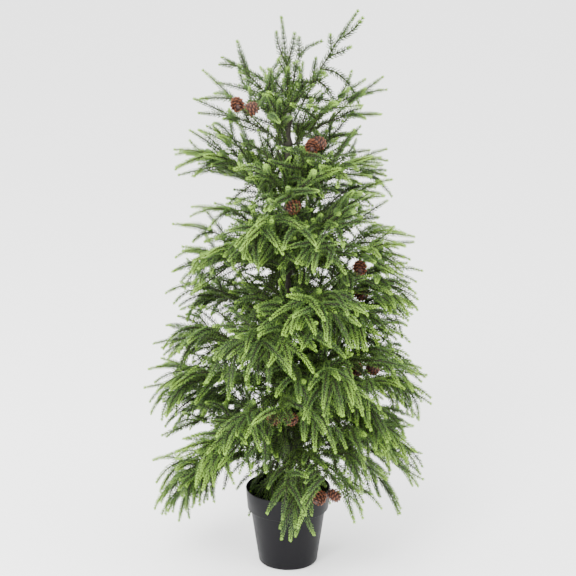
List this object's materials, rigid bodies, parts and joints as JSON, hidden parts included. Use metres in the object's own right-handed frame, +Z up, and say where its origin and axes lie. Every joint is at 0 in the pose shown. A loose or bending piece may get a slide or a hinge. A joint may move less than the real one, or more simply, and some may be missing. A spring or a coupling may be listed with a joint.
{
  "type": "artificial tabletop tree",
  "caption": "Artificial tabletop pine in a plain pot: bendable wire branches in whorls on a trunk pole, with soft moulded foliage and small cones.",
  "frame": {"origin": "centre of the pot's flat foot, on the surface it stands on", "axes": "+Z up the trunk; the tree's front faces -Y; +X to the viewer's right"},
  "size_m": [0.4686, 0.4585, 0.9142],
  "materials": {
    "pot_plastic": "satin charcoal moulded plastic",
    "cement": "rough cast cement",
    "steel_rod": "dull steel",
    "trunk_tape": "matte wound tape",
    "wrapped_wire": "wire wrapped in dark green tape",
    "moulded_foliage": "soft matte moulded needles, yellow-green at the ends",
    "cone_scales": "dry reddish brown scales with paler edges"
  },
  "bodies": {
    "stand": {"pot": "pot_plastic", "cement_ballast": "cement", "trunk_pole": "steel_rod", "trunk_tape_wrap": "trunk_tape"},
    "branch_11": {"branch_11_stem": "wrapped_wire", "branch_11_foliage": "moulded_foliage"},
    "branch_12": {"branch_12_stem": "wrapped_wire", "branch_12_foliage": "moulded_foliage"},
    "branch_13": {"branch_13_stem": "wrapped_wire", "branch_13_foliage": "moulded_foliage"},
    "branch_14": {"branch_14_stem": "wrapped_wire", "branch_14_foliage": "moulded_foliage", "cone_pick_8": "cone_scales"},
    "branch_21": {"branch_21_stem": "wrapped_wire", "branch_21_foliage": "moulded_foliage"},
    "branch_22": {"branch_22_stem": "wrapped_wire", "branch_22_foliage": "moulded_foliage"},
    "branch_23": {"branch_23_stem": "wrapped_wire", "branch_23_foliage": "moulded_foliage", "cone_pick_7": "cone_scales"},
    "branch_24": {"branch_24_stem": "wrapped_wire", "branch_24_foliage": "moulded_foliage", "cone_pick_6": "cone_scales"},
    "branch_31": {"branch_31_stem": "wrapped_wire", "branch_31_foliage": "moulded_foliage", "cone_pick_5": "cone_scales"},
    "branch_32": {"branch_32_stem": "wrapped_wire", "branch_32_foliage": "moulded_foliage"},
    "branch_33": {"branch_33_stem": "wrapped_wire", "branch_33_foliage": "moulded_foliage"},
    "branch_41": {"branch_41_stem": "wrapped_wire", "branch_41_foliage": "moulded_foliage"},
    "branch_42": {"branch_42_stem": "wrapped_wire", "branch_42_foliage": "moulded_foliage"},
    "branch_43": {"branch_43_stem": "wrapped_wire", "branch_43_foliage": "moulded_foliage", "cone_pick_4": "cone_scales"},
    "branch_51": {"branch_51_stem": "wrapped_wire", "branch_51_foliage": "moulded_foliage"},
    "branch_52": {"branch_52_stem": "wrapped_wire", "branch_52_foliage": "moulded_foliage"},
    "branch_53": {"branch_53_stem": "wrapped_wire", "branch_53_foliage": "moulded_foliage", "cone_pick_3": "cone_scales"},
    "branch_61": {"branch_61_stem": "wrapped_wire", "branch_61_foliage": "moulded_foliage"},
    "branch_62": {"branch_62_stem": "wrapped_wire", "branch_62_foliage": "moulded_foliage", "cone_pick_1": "cone_scales"},
    "branch_63": {"branch_63_stem": "wrapped_wire", "branch_63_foliage": "moulded_foliage", "cone_pick_2": "cone_scales"},
    "leader_right": {"leader_right_stem": "wrapped_wire", "leader_right_foliage": "moulded_foliage"},
    "leader_left": {"leader_left_stem": "wrapped_wire", "leader_left_foliage": "moulded_foliage"},
    "leader_centre": {"leader_centre_foliage": "moulded_foliage"}
  },
  "joints": [
    {"name": "branch_11_bend", "type": "hinge", "parent": "stand", "child": "branch_11", "pos_m": [0.00968, 0.00431, 0.185], "axis": [0.4067, -0.9135, 0], "range_deg": [-15, 40], "deforming": ["branch_11_foliage"]},
    {"name": "branch_12_bend", "type": "hinge", "parent": "stand", "child": "branch_12", "pos_m": [-0.00431, 0.00968, 0.185], "axis": [0.9135, 0.4067, 0], "range_deg": [-15, 40], "deforming": ["branch_12_foliage"]},
    {"name": "branch_13_bend", "type": "hinge", "parent": "stand", "child": "branch_13", "pos_m": [-0.00968, -0.00431, 0.185], "axis": [-0.4067, 0.9135, 0], "range_deg": [-15, 40], "deforming": ["branch_13_foliage"]},
    {"name": "branch_14_bend", "type": "hinge", "parent": "stand", "child": "branch_14", "pos_m": [0.00431, -0.00968, 0.185], "axis": [-0.9135, -0.4067, 0], "range_deg": [-15, 40], "deforming": ["branch_14_foliage"]},
    {"name": "branch_21_bend", "type": "hinge", "parent": "stand", "child": "branch_21", "pos_m": [0.00074, 0.01057, 0.288], "axis": [0.9976, -0.0698, 0], "range_deg": [-15, 40], "deforming": ["branch_21_foliage"]},
    {"name": "branch_22_bend", "type": "hinge", "parent": "stand", "child": "branch_22", "pos_m": [-0.01057, 0.00074, 0.288], "axis": [0.0698, 0.9976, 0], "range_deg": [-15, 40], "deforming": ["branch_22_foliage"]},
    {"name": "branch_23_bend", "type": "hinge", "parent": "stand", "child": "branch_23", "pos_m": [-0.00074, -0.01057, 0.288], "axis": [-0.9976, 0.0698, 0], "range_deg": [-15, 40], "deforming": ["branch_23_foliage"]},
    {"name": "branch_24_bend", "type": "hinge", "parent": "stand", "child": "branch_24", "pos_m": [0.01057, -0.00074, 0.288], "axis": [-0.0698, -0.9976, 0], "range_deg": [-15, 40], "deforming": ["branch_24_foliage"]},
    {"name": "branch_31_bend", "type": "hinge", "parent": "stand", "child": "branch_31", "pos_m": [0.01024, 0.00274, 0.391], "axis": [0.2588, -0.9659, 0], "range_deg": [-15, 40], "deforming": ["branch_31_foliage"]},
    {"name": "branch_32_bend", "type": "hinge", "parent": "stand", "child": "branch_32", "pos_m": [-0.0075, 0.0075, 0.391], "axis": [0.7071, 0.7071, 0], "range_deg": [-15, 40], "deforming": ["branch_32_foliage"]},
    {"name": "branch_33_bend", "type": "hinge", "parent": "stand", "child": "branch_33", "pos_m": [-0.00274, -0.01024, 0.391], "axis": [-0.9659, 0.2588, 0], "range_deg": [-15, 40], "deforming": ["branch_33_foliage"]},
    {"name": "branch_41_bend", "type": "hinge", "parent": "stand", "child": "branch_41", "pos_m": [-0.00092, 0.01056, 0.494], "axis": [0.9962, 0.0872, 0], "range_deg": [-15, 40], "deforming": ["branch_41_foliage"]},
    {"name": "branch_42_bend", "type": "hinge", "parent": "stand", "child": "branch_42", "pos_m": [-0.00868, -0.00608, 0.494], "axis": [-0.5736, 0.8191, 0], "range_deg": [-15, 40], "deforming": ["branch_42_foliage"]},
    {"name": "branch_43_bend", "type": "hinge", "parent": "stand", "child": "branch_43", "pos_m": [0.00961, -0.00448, 0.494], "axis": [-0.4226, -0.9063, 0], "range_deg": [-15, 40], "deforming": ["branch_43_foliage"]},
    {"name": "branch_51_bend", "type": "hinge", "parent": "stand", "child": "branch_51", "pos_m": [0.00868, 0.00608, 0.597], "axis": [0.5736, -0.8191, 0], "range_deg": [-20, 35], "deforming": ["branch_51_foliage"]},
    {"name": "branch_52_bend", "type": "hinge", "parent": "stand", "child": "branch_52", "pos_m": [-0.00961, 0.00448, 0.597], "axis": [0.4226, 0.9063, 0], "range_deg": [-20, 35], "deforming": ["branch_52_foliage"]},
    {"name": "branch_53_bend", "type": "hinge", "parent": "stand", "child": "branch_53", "pos_m": [0.00092, -0.01056, 0.597], "axis": [-0.9962, -0.0872, 0], "range_deg": [-20, 35], "deforming": ["branch_53_foliage"]},
    {"name": "branch_61_bend", "type": "hinge", "parent": "stand", "child": "branch_61", "pos_m": [-0.00092, 0.01056, 0.7], "axis": [0.9962, 0.0872, 0], "range_deg": [-20, 30], "deforming": ["branch_61_foliage"]},
    {"name": "branch_62_bend", "type": "hinge", "parent": "stand", "child": "branch_62", "pos_m": [-0.00868, -0.00608, 0.7], "axis": [-0.5736, 0.8191, 0], "range_deg": [-20, 30], "deforming": ["branch_62_foliage"]},
    {"name": "branch_63_bend", "type": "hinge", "parent": "stand", "child": "branch_63", "pos_m": [0.00961, -0.00448, 0.7], "axis": [-0.4226, -0.9063, 0], "range_deg": [-20, 30], "deforming": ["branch_63_foliage"]},
    {"name": "leader_right_bend", "type": "hinge", "parent": "stand", "child": "leader_right", "pos_m": [0.01057, -0.00074, 0.738], "axis": [-0.0698, -0.9976, 0], "range_deg": [-25, 12], "deforming": ["leader_right_foliage"]},
    {"name": "leader_left_bend", "type": "hinge", "parent": "stand", "child": "leader_left", "pos_m": [-0.01057, 0.00074, 0.738], "axis": [0.0698, 0.9976, 0], "range_deg": [-25, 12], "deforming": ["leader_left_foliage"]},
    {"name": "leader_centre_bend", "type": "hinge", "parent": "stand", "child": "leader_centre", "pos_m": [0, 0, 0.7483], "axis": [0, 1, 0], "range_deg": [-20, 20], "deforming": ["leader_centre_foliage"]}
  ]
}
